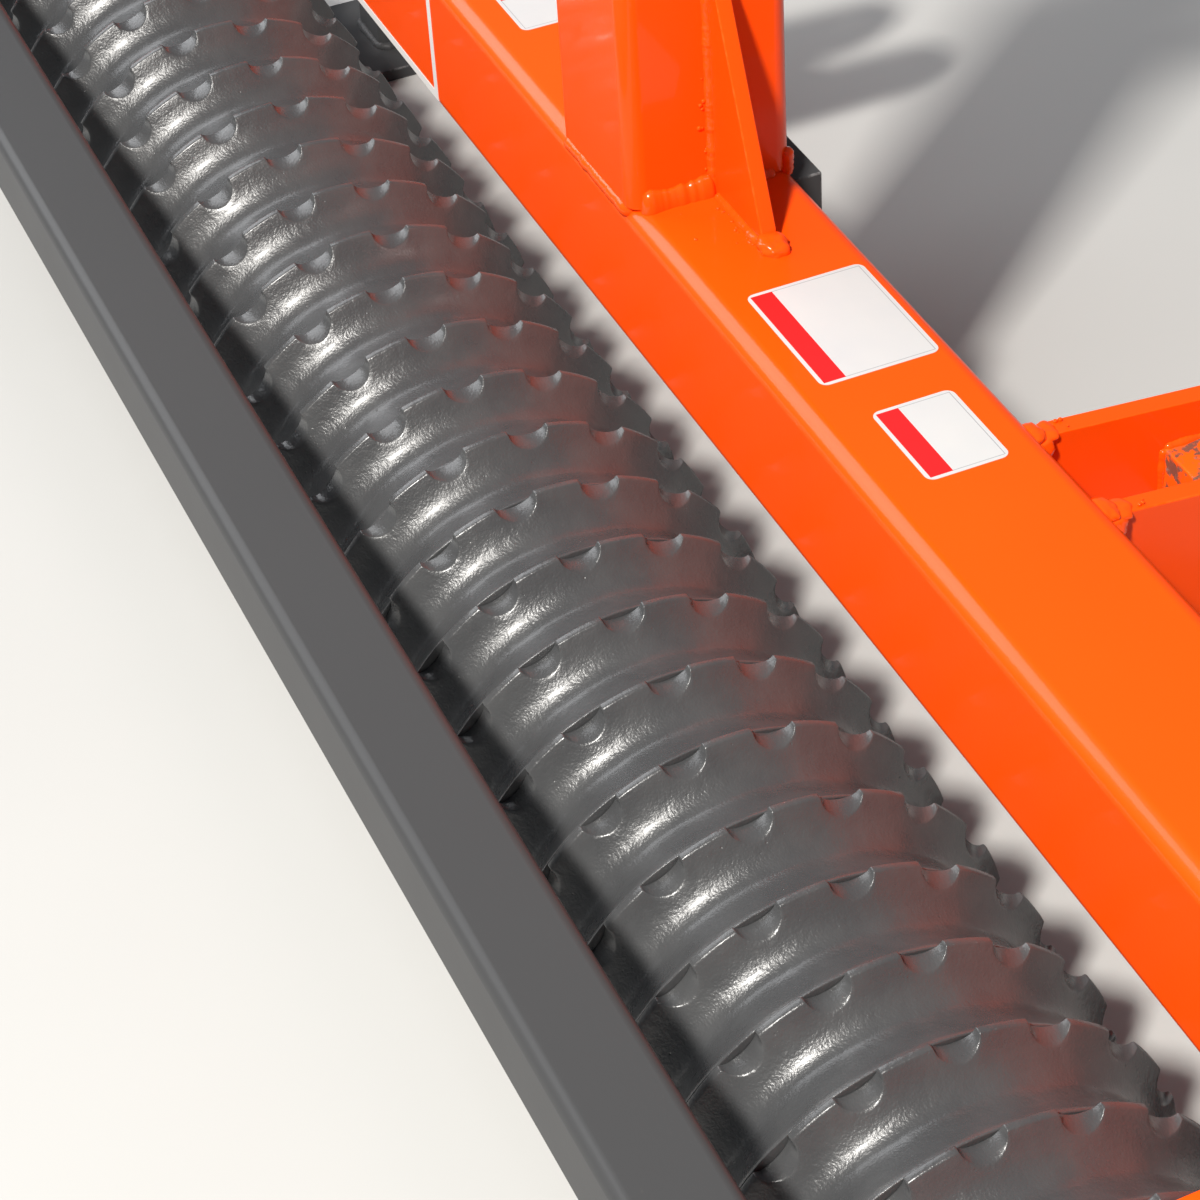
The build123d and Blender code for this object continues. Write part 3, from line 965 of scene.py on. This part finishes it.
@dataclass
class Welding:
    """The weld beads of the frame and the stands."""

    # How far each kind of bead reaches from its middle
    size: float = 6.0 * MM
    wide: float = 5.7 * MM
    foot: float = 4.84 * MM
    small: float = 4.4 * MM
    fine: float = 3.52 * MM
    tube_corner: float = 11.0 * MM
    link_thick: float = 12.0 * MM
    link_depth: float = 90.0 * MM
    # Each lump at a link plate's root: its place from the plate's top corner, and half its size
    root_lumps: tuple[tuple[Point, Point], ...] = (
        ((0.0, 1.0 * MM, 0.0), (9.5 * MM, 6.5 * MM, 4.0 * MM)),
        ((0.0, 7.5 * MM, -1.6 * MM), (8.0 * MM, 7.5 * MM, 3.0 * MM)),
        ((6.0 * MM, 4.0 * MM, -7.0 * MM), (4.5 * MM, 6.0 * MM, 7.0 * MM)),
    )

    def run(self, size: float, away: Sequence[float] | None, *points: Sequence[float], **more: float) -> Bead:
        """A bead through points, out of a corner that faces one way."""
        return Bead(tuple(Vector(point) for point in points), size, away, **more)

    def spatter(self, seed: int, centre: Sequence[float], spread: float, count: int) -> list[Pad]:
        """Small drops round a place on a level plate.

        Args:
            seed: Start of the random draws.
            centre: The place.
            spread: How far from it the drops reach.
            count: How many there are.

        Returns:
            The drops.
        """
        dice = random.Random(seed)
        drops = []
        for _ in range(count):
            turn = dice.uniform(0, math.tau)
            reach = spread * math.sqrt(dice.uniform(0.15, 1))
            size = dice.uniform(0.5, 1.1) * MM
            place = Vector(centre) + Vector((math.cos(turn) * reach, math.sin(turn) * reach, 0))
            drops.append(Pad(place, (size, size, size * 0.8)))
        return drops

    def mast_side(self, side: int, post: Extent, plate: Extent) -> list[Bead]:
        """The beads along one side of the mast's foot.

        Args:
            side: -1 on the left, 1 on the right.
            post: The mast's box.
            plate: The box of its right gusset.

        Returns:
            A tall bead behind the gusset, one ahead of it and one down the front corner.
        """
        floor = post.low.z
        face = side * post.high.x
        proud = face + side * 0.5 * MM
        rear = self.run(self.foot, (0, 0, 1), (proud, post.low.y + 6 * MM, floor),
                        (proud, plate.low.y + 1 * MM, floor),
                        tall=2.3, sunk=-0.05, lumps=0.32, ripple=0.02, around=20)
        lift = floor + 1 * MM
        front = self.run(self.size, (side, 0, 0.9), (face, plate.high.y, lift),
                         (face, post.high.y - self.tube_corner, lift))
        points = [(face - side * inset * MM, post.high.y - back * MM, floor + rise * MM)
                  for inset, back, rise in ((3, 2, 13), (2, 2, 3), (1, 3, -5))]
        return [rear, front, self.run(self.small, (side, 1, 0.3), *points, lumps=0.2)]

    def mast_drops(self, post: Extent, plate: Extent) -> list[Pad]:
        """Small drops behind the right gusset, on the toolbar and up the mast in turn.

        Args:
            post: The mast's box.
            plate: The gusset's box.

        Returns:
            The drops.
        """
        dice = random.Random(8)
        drops = []
        for _ in range(9):
            size = dice.uniform(0.6, 1.1) * MM
            x = post.high.x + dice.uniform(6, 62) * MM
            y = plate.low.y - dice.uniform(3.5, 7) * MM
            drops.append(Pad(Vector((x, y, post.low.z)), (size, size, size)))
            size = dice.uniform(0.6, 1.2) * MM
            y = plate.low.y - dice.uniform(3.5, 8) * MM
            z = post.low.z + dice.uniform(12, 75) * MM
            drops.append(Pad(Vector((post.high.x, y, z)), (size, size, size)))
        return drops

    def mast(self) -> None:
        """The mast's foot."""
        post = Extent.of("mast_post")
        plate = Extent.of("mast_gusset_right")
        floor = post.low.z
        beads = []
        for _, side in SIDES:
            beads += self.mast_side(side, post, plate)
        inner = post.high.x - self.tube_corner * 0.6
        z = floor - 2.5 * MM
        for y, out in ((post.low.y + 1.8 * MM, -1), (post.high.y - 1.8 * MM, 1)):
            beads.append(self.run(self.wide, (0, out, 0.3), (-inner, y, z), (inner, y, z),
                                  lumps=0.12, ripple=0.04))
        beads += self.spatter(3, (post.high.x + 30 * MM, post.low.y + 38 * MM, floor), 26 * MM, 5)
        beads += self.mast_drops(post, plate)
        welds("mast_foot_welds", beads)

    def gussets(self) -> None:
        """The gussets' edges and toes."""
        post = Extent.of("mast_post")
        floor = post.low.z
        beads = []
        for word, side in SIDES:
            plate = Extent.of(f"mast_gusset_{word}")
            root = side * post.high.x
            toe = side * max(abs(plate.low.x), abs(plate.high.x))
            for face, out in ((plate.low.y, -1), (plate.high.y, 1)):
                beads.append(self.run(self.small, (0, out, 1), (root + side * 4 * MM, face, floor),
                                      (toe - side * 2 * MM, face, floor), ripple=0.05, lumps=0.18))
                beads.append(self.run(self.small, (side, out, 0), (root, face, floor + 3 * MM),
                                      (root, face, plate.high.z - 2 * MM), ripple=0.05, lumps=0.2))
            end = Vector((toe + side * 5 * MM, plate.centre.y, floor + 1 * MM))
            beads.append(Pad(end, (11 * MM, 8.5 * MM, 6 * MM)))
            beads.append(self.run(self.fine, (side, 0, 1), (root, plate.low.y + 2 * MM, plate.high.z),
                                  (root, plate.high.y - 2 * MM, plate.high.z)))
        welds("gusset_welds", beads)

    def link_root(self, side: int, plates: Extent, bar: Extent) -> list[Bead | Pad]:
        """The welds at the root of one lower link plate.

        Args:
            side: -1 on the left, 1 on the right.
            plates: The box of that plate and its twin on the other side.
            bar: The toolbar's box.

        Returns:
            A bead on each face, the lumps where they stop and a few drops.
        """
        middle = side * (plates.high.x - self.link_thick / 2)
        top = plates.high.z
        beads = []
        for way in (-1, 1):
            x = middle + way * self.link_thick / 2
            beads.append(self.run(self.size, (way, 1, 0), (x, bar.high.y, top - self.link_depth),
                                  (x, bar.high.y, top - 1 * MM)))
        corner = Vector((middle, bar.high.y, top))
        for shift, half in self.root_lumps:
            beads.append(Pad(corner + Vector(shift), half))
        beads += self.spatter(int(middle / MM), (middle, bar.high.y + 19 * MM, top), 5 * MM, 3)
        return beads

    def spacer_ends(self, spacer: Extent) -> list[Bead]:
        """The beads round both ends of one link spacer.

        Args:
            spacer: The spacer's box.

        Returns:
            The beads, on its upright and top edges.
        """
        low, high = spacer.low, spacer.high
        beads = []
        for x, out in ((low.x, 1), (high.x, -1)):
            for y, way in ((low.y, -1), (high.y, 1)):
                beads.append(self.run(self.fine, (out, way, 0), (x, y, low.z), (x, y, high.z)))
            beads.append(self.run(self.fine, (out, 0, 1), (x, low.y, high.z), (x, high.y, high.z)))
        return beads

    def links(self) -> None:
        """The lower link plates and their spacers."""
        bar = Extent.of("toolbar")
        beads = []
        for node in ("link_plates_inner", "link_plates_outer"):
            plates = Extent.of(node)
            for _, side in SIDES:
                beads += self.link_root(side, plates, bar)
        for word, _ in SIDES:
            beads += self.spacer_ends(Extent.of(f"link_spacer_{word}"))
        welds("link_welds", beads)

    def fittings(self) -> None:
        """The sleeves, the top link ears and the ends of the toolbar."""
        bar = Extent.of("toolbar")
        sleeves = Extent.of("stand_sleeves")
        beads = []
        half = sleeves.size.y / 2
        for _, side in SIDES:
            middle = side * (sleeves.high.x - half)
            for way in (-1, 1):
                x = middle + way * (half - 5 * MM)
                beads.append(self.run(self.size, (way, 0.5, 0), (x, bar.high.y, bar.low.z + 11 * MM),
                                      (x, bar.high.y, sleeves.high.z - 8 * MM)))
        for word, _ in SIDES:
            ear = Extent.of(f"top_ear_{word}")
            low, high = ear.low, ear.high
            for x, out in ((low.x, -1), (high.x, 1)):
                beads.append(self.run(self.small, (out, 1, 0), (x, low.y, low.z), (x, low.y, high.z)))
        for _, side in SIDES:
            centre = (side * bar.high.x, bar.centre.y, bar.centre.z)
            beads.append(self.around(centre, bar.size.y / 2, self.tube_corner * 0.7, "YZ"))
        welds("frame_welds", beads)

    def greys(self) -> None:
        """The center plate, the rear bar's flanges and the stands' feet."""
        bar = Extent.of("toolbar")
        plate = Extent.of("center_plate")
        beads = []
        for x, out in ((plate.low.x, -1), (plate.high.x, 1)):
            beads.append(self.run(self.small, (out, 1, 0), (x, bar.high.y, plate.low.z),
                                  (x, bar.high.y, bar.high.z - self.tube_corner)))
        rear = Extent.of("rear_bar")
        inset = 5 * MM
        for _, side in SIDES:
            end = (side * rear.high.x, rear.centre.y, rear.centre.z)
            beads.append(self.around(end, rear.size.y / 2, inset, "YZ"))
        welds("rear_bar_welds", beads, finish=GREY)
        for word, _ in SIDES:
            leg = Extent.of(f"stand_leg_{word}")
            ring = self.around((leg.centre.x, leg.centre.y, leg.low.z), leg.size.x / 2, inset, "XY")
            welds(f"stand_welds_{word}", [ring], Body(f"stand_{word}"), GREY)

    def around(self, centre: Sequence[float], half: float, inset: float, plane: str) -> Bead:
        """A bead round a square tube.

        Args:
            centre: The middle of the tube where it meets its plate.
            half: Half the tube's width.
            inset: How far each corner is cut.
            plane: The plane of the plate, YZ or XY.

        Returns:
            The bead.
        """
        flat = half - inset
        corners = ((-half, -flat), (-half, flat), (-flat, half), (flat, half), (half, flat), (half, -flat),
                   (flat, -half), (-flat, -half), (-half, -flat))
        if plane == "YZ":
            points = [Vector(centre) + Vector((0, a, b)) for a, b in corners]
        else:
            points = [Vector(centre) + Vector((a, b, 0)) for a, b in corners]
        return Bead(tuple(points), self.small)

    def build(self) -> None:
        """Lay every bead."""
        self.mast()
        self.gussets()
        self.links()
        self.fittings()
        self.greys()


# Bolts and small fittings

@dataclass
class Fastening:
    """The bolts of the bearings and of the rear bar, the bearings' grease nipples and the stands' screws."""

    bearing_spread: float = 38 * MM
    bearing_flange: float = 14 * MM
    flange_spread: float = 36 * MM
    flange_thick: float = 8 * MM
    # The nut with the bolt's end standing out of it, and the bolt's head
    nut: Hexagon = Hexagon(across=18 * MM, height=8 * MM, washer=13 * MM, shank=6 * MM, shank_radius=5.8 * MM)
    head: Hexagon = Hexagon(across=18 * MM, height=7.5 * MM, washer=13 * MM)
    # A grease nipple's place out from the side plate, ahead of the shaft's axis and above it
    nipple: Point = (25 * MM, -12.5 * MM, 35 * MM)
    # Radius and height of each step of a nipple's neck and ball
    nipple_neck: tuple[tuple[float, float], ...] = (
        (0.0, 4.0 * MM), (2.2 * MM, 4.0 * MM), (2.2 * MM, 8.0 * MM), (3.0 * MM, 9.0 * MM),
        (3.0 * MM, 10.4 * MM), (1.6 * MM, 11.6 * MM), (0.0, 11.8 * MM))
    screw_radius: float = 7 * MM
    screw_pitch: float = 2 * MM
    handle_radius: float = 5 * MM
    handle_half: float = 42 * MM

    def bearing_bolts(self) -> None:
        """Four bolts through each bearing's flange."""
        plates = Extent.of("side_plates")
        axis = Extent.of("roller_shaft").centre
        mesh = bmesh.new()
        for _, side in SIDES:
            face = side * (plates.high.x + self.bearing_flange)
            for a in (-1, 1):
                for b in (-1, 1):
                    place = (face, axis.y + a * self.bearing_spread, axis.z + b * self.bearing_spread)
                    self.nut.add(mesh, facing((side, 0, 0), place))
        settle("bearing_bolts", mesh, ZINC, Body.FRAME, crease=32)

    def nipples(self) -> None:
        """A grease nipple on each bearing, leaning back."""
        plates = Extent.of("side_plates")
        axis = Extent.of("roller_shaft").centre
        out, ahead, above = self.nipple
        mesh = bmesh.new()
        for _, side in SIDES:
            seat = (side * (plates.high.x + out), axis.y + ahead, axis.z + above)
            place = facing((0, -0.35, 1.0), seat)
            turned(mesh, place, round_bar(3.6 * MM, 0.0, 4 * MM, 0.4 * MM), 6)
            turned(mesh, place, self.nipple_neck, 20)
        settle("grease_nipples", mesh, ZINC, Body.FRAME, crease=32)

    def bar_bolts(self) -> None:
        """Four bolts through each end flange of the rear bar."""
        flanges = Extent.of("bar_flanges")
        plates = Extent.of("side_plates")
        mesh = bmesh.new()
        for _, side in SIDES:
            for a in (-1, 1):
                for b in (-1, 1):
                    y = flanges.centre.y + a * self.flange_spread
                    z = flanges.centre.z + b * self.flange_spread
                    self.head.add(mesh, facing((side, 0, 0), (side * plates.high.x, y, z)))
                    inside = side * (flanges.high.x - self.flange_thick)
                    self.nut.add(mesh, facing((-side, 0, 0), (inside, y, z)))
        settle("bar_bolts", mesh, ZINC, Body.FRAME, crease=32)

    def stand_screws(self) -> None:
        """The stands' threaded clamping screws with their cross handles."""
        box = Extent.of("stand_screws")
        radius = self.screw_radius
        end = box.size.y
        neck = end - 2 * radius
        profile = [(0.0, 0.0), (radius - 1.4 * MM, 0.0)]
        for i in range(int((neck - 2 * MM) / self.screw_pitch)):
            profile.append((radius - 1.0 * MM, (i + 0.5) * self.screw_pitch))
            profile.append((radius, (i + 1) * self.screw_pitch))
        profile += [(radius - 0.6 * MM, neck), (radius, neck + 0.6 * MM)]
        profile += [(radius, end - 1 * MM), (radius - 1 * MM, end), (0.0, end)]
        mesh = bmesh.new()
        for _, side in SIDES:
            middle = side * (box.high.x - self.handle_half)
            turned(mesh, facing((0, 1, 0), (middle, box.low.y, box.centre.z)), profile, 28)
            start = (middle - self.handle_half, box.high.y - radius, box.centre.z)
            handle = round_bar(self.handle_radius, 0.0, 2 * self.handle_half, 1.5 * MM)
            turned(mesh, facing((1, 0, 0), start), handle, 20)
        settle("stand_screws_threaded", mesh, ZINC, Body.FRAME, ["stand_screws"], crease=32)

    def build(self) -> None:
        """Make every fastener."""
        self.bearing_bolts()
        self.nipples()
        self.bar_bolts()
        self.stand_screws()


@dataclass
class Labels:
    """The blank film labels on the toolbar's top and the line of the blank sign on its rear face."""

    thick: float = 0.25 * MM
    corner: float = 5.0 * MM
    # name, low and high x, low and high y ahead of the toolbar's rear face, in millimetres, axis and side of
    # the band, width of the band in millimetres
    rows: tuple[tuple[str, tuple[float, float], tuple[float, float], str, int, float], ...] = (
        ("label_large", (154.5, 248.0), (21.0, 91.2), "Y", -1, 15.0),
        ("label_small", (280.5, 345.0), (32.0, 79.2), "Y", -1, 15.0),
        ("label_far", (-262.0, -167.0), (25.2, 77.6), "X", -1, 54.0),
    )
    # The blank sign on the rear face: its ends, its distance from the toolbar's edges, and its line
    sign_ends: tuple[float, float] = (-595.0 * MM, -265.0 * MM)
    sign_margin: float = 8.0 * MM
    sign_line: float = 6.0 * MM
    # How far the line's film starts inside the face
    sign_sunk: float = 0.5 * MM

    def sign(self) -> None:
        """Lay the white line round a blank sign on the toolbar's rear face."""
        bar = Extent.of("toolbar")
        mesh = bmesh.new()
        loops = []
        for inset in (0.0, self.sign_line):
            x0, x1 = self.sign_ends[0] + inset, self.sign_ends[1] - inset
            z0 = bar.low.z + self.sign_margin + inset
            z1 = bar.high.z - self.sign_margin - inset
            corners = ((x0, z0), (x1, z0), (x1, z1), (x0, z1))
            loops.append([mesh.verts.new((x, bar.low.y + self.sign_sunk, z)) for x, z in corners])
        outer, inner = loops
        for i in range(4):
            j = (i + 1) % 4
            mesh.faces.new((outer[i], outer[j], inner[j], inner[i]))
        grown = bmesh.ops.extrude_face_region(mesh, geom=mesh.faces[:])
        lifted = [item for item in grown["geom"] if isinstance(item, bmesh.types.BMVert)]
        bmesh.ops.translate(mesh, verts=lifted, vec=(0, -self.sign_sunk - self.thick, 0))
        settle("sign_line", mesh, WHITE_FILM, Body.FRAME, crease=40)

    def build(self) -> None:
        """Lay each label and the sign on the toolbar."""
        self.sign()
        bar = Extent.of("toolbar")
        for name, (x0, x1), (y0, y1), axis, side, band in self.rows:
            centre = ((x0 + x1) / 2 * MM, bar.low.y + (y0 + y1) / 2 * MM, bar.high.z)
            half = ((x1 - x0) / 2 * MM, (y1 - y0) / 2 * MM)
            finish = BlankLabel(f"{name}_film", centre, half, axis, side, band * MM)
            mesh = bmesh.new()
            place = Matrix.Translation(centre) @ Matrix.Diagonal((half[0], half[1], 1, 1))
            made = bmesh.ops.create_grid(mesh, x_segments=1, y_segments=1, size=1.0, matrix=place)
            bmesh.ops.bevel(mesh, geom=made["verts"], offset=self.corner, offset_type="OFFSET",
                            affect="VERTICES", segments=6, profile=0.5, material=-1)
            grown = bmesh.ops.extrude_face_region(mesh, geom=mesh.faces[:])
            lifted = [item for item in grown["geom"] if isinstance(item, bmesh.types.BMVert)]
            bmesh.ops.translate(mesh, verts=lifted, vec=(0, 0, self.thick))
            settle(name, mesh, finish, Body.FRAME, crease=40)


# The studio

@dataclass
class Studio:
    """The floor, the lights and the camera."""

    lens: float = 100.91
    sensor: float = 36.0
    # Measured from the middle of the roller's axis
    place: Point = (1.52671, -0.49664, 1.23120)
    # The way of the picture's right and up, and the way back from it
    right: Point = (0.40100, 0.91448, -0.05408)
    up: Point = (-0.56539, 0.29351, 0.77083)
    back: Point = (0.72078, -0.27853, 0.63474)
    floor_half: float = 14.0
    aim: Point = (0.1, 0.0, 0.2)
    # name, way to it from the machine, distance, width, power in watts, colour
    lamps: tuple[tuple[str, Point, float, float, float, Point], ...] = (
        ("key", (0.40, -0.48, 0.78), 4.2, 0.3, 300.0, (1.0, 0.97, 0.92)),
        ("soft", (-0.76, -0.38, 0.58), 3.6, 2.7, 105.0, (0.95, 0.97, 1.0)),
    )
    sky: Colour = (0.86, 0.92, 1.0, 1.0)
    sky_strength: float = 0.18

    def floor(self) -> None:
        """A wide pale floor under the rings."""
        mesh = bmesh.new()
        bmesh.ops.create_grid(mesh, x_segments=2, y_segments=2, size=self.floor_half)
        data = bpy.data.meshes.new("floor")
        mesh.to_mesh(data)
        mesh.free()
        plane = bpy.data.objects.new("floor", data)
        bpy.context.scene.collection.objects.link(plane)
        data.materials.append(PALETTE.of(PaleFloor()))

    def lamp(self, name: str, way: Point, reach: float, size: float, power: float, colour: Point) -> None:
        """A square soft light that points at the machine.

        Args:
            name: Its name.
            way: The direction to it from the machine.
            reach: Its distance.
            size: Its width.
            power: Its power in watts.
            colour: Its colour.
        """
        data = bpy.data.lights.new(name, "AREA")
        data.size = size
        data.energy = power
        data.color = colour
        lamp = bpy.data.objects.new(name, data)
        lamp.matrix_world = facing(way, Vector(self.aim) + Vector(way).normalized() * reach)
        bpy.context.scene.collection.objects.link(lamp)

    def camera(self) -> None:
        """The camera at the photograph's place."""
        data = bpy.data.cameras.new("camera")
        data.lens = self.lens
        data.sensor_width = self.sensor
        data.clip_end = 100
        camera = bpy.data.objects.new("camera", data)
        turn = Matrix((self.right, self.up, self.back)).transposed().to_4x4()
        middle = Extent.of("roller_shaft").centre
        camera.matrix_world = Matrix.Translation(middle + Vector(self.place)) @ turn
        bpy.context.scene.collection.objects.link(camera)
        bpy.context.scene.camera = camera

    def world(self) -> None:
        """Even pale light from all round."""
        world = bpy.data.worlds.new("studio")
        world.use_nodes = True
        ground = world.node_tree.nodes["Background"]
        ground.inputs["Color"].default_value = self.sky
        ground.inputs["Strength"].default_value = self.sky_strength
        bpy.context.scene.world = world

    def build(self) -> None:
        """Set everything up."""
        scene = bpy.context.scene
        scene.view_settings.view_transform = "Standard"
        self.camera()
        self.floor()
        self.world()
        for row in self.lamps:
            self.lamp(*row)


def main() -> None:
    """Dress the machine and report each piece."""
    logging.basicConfig(level=logging.INFO, format="%(message)s", stream=sys.stdout)
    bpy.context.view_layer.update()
    Studio().build()
    for assembly in (Roller(), Plating(), Welding(), Fastening(), Labels()):
        assembly.build()
        log.info("%s done", type(assembly).__name__)


if __name__ == "__main__":
    main()
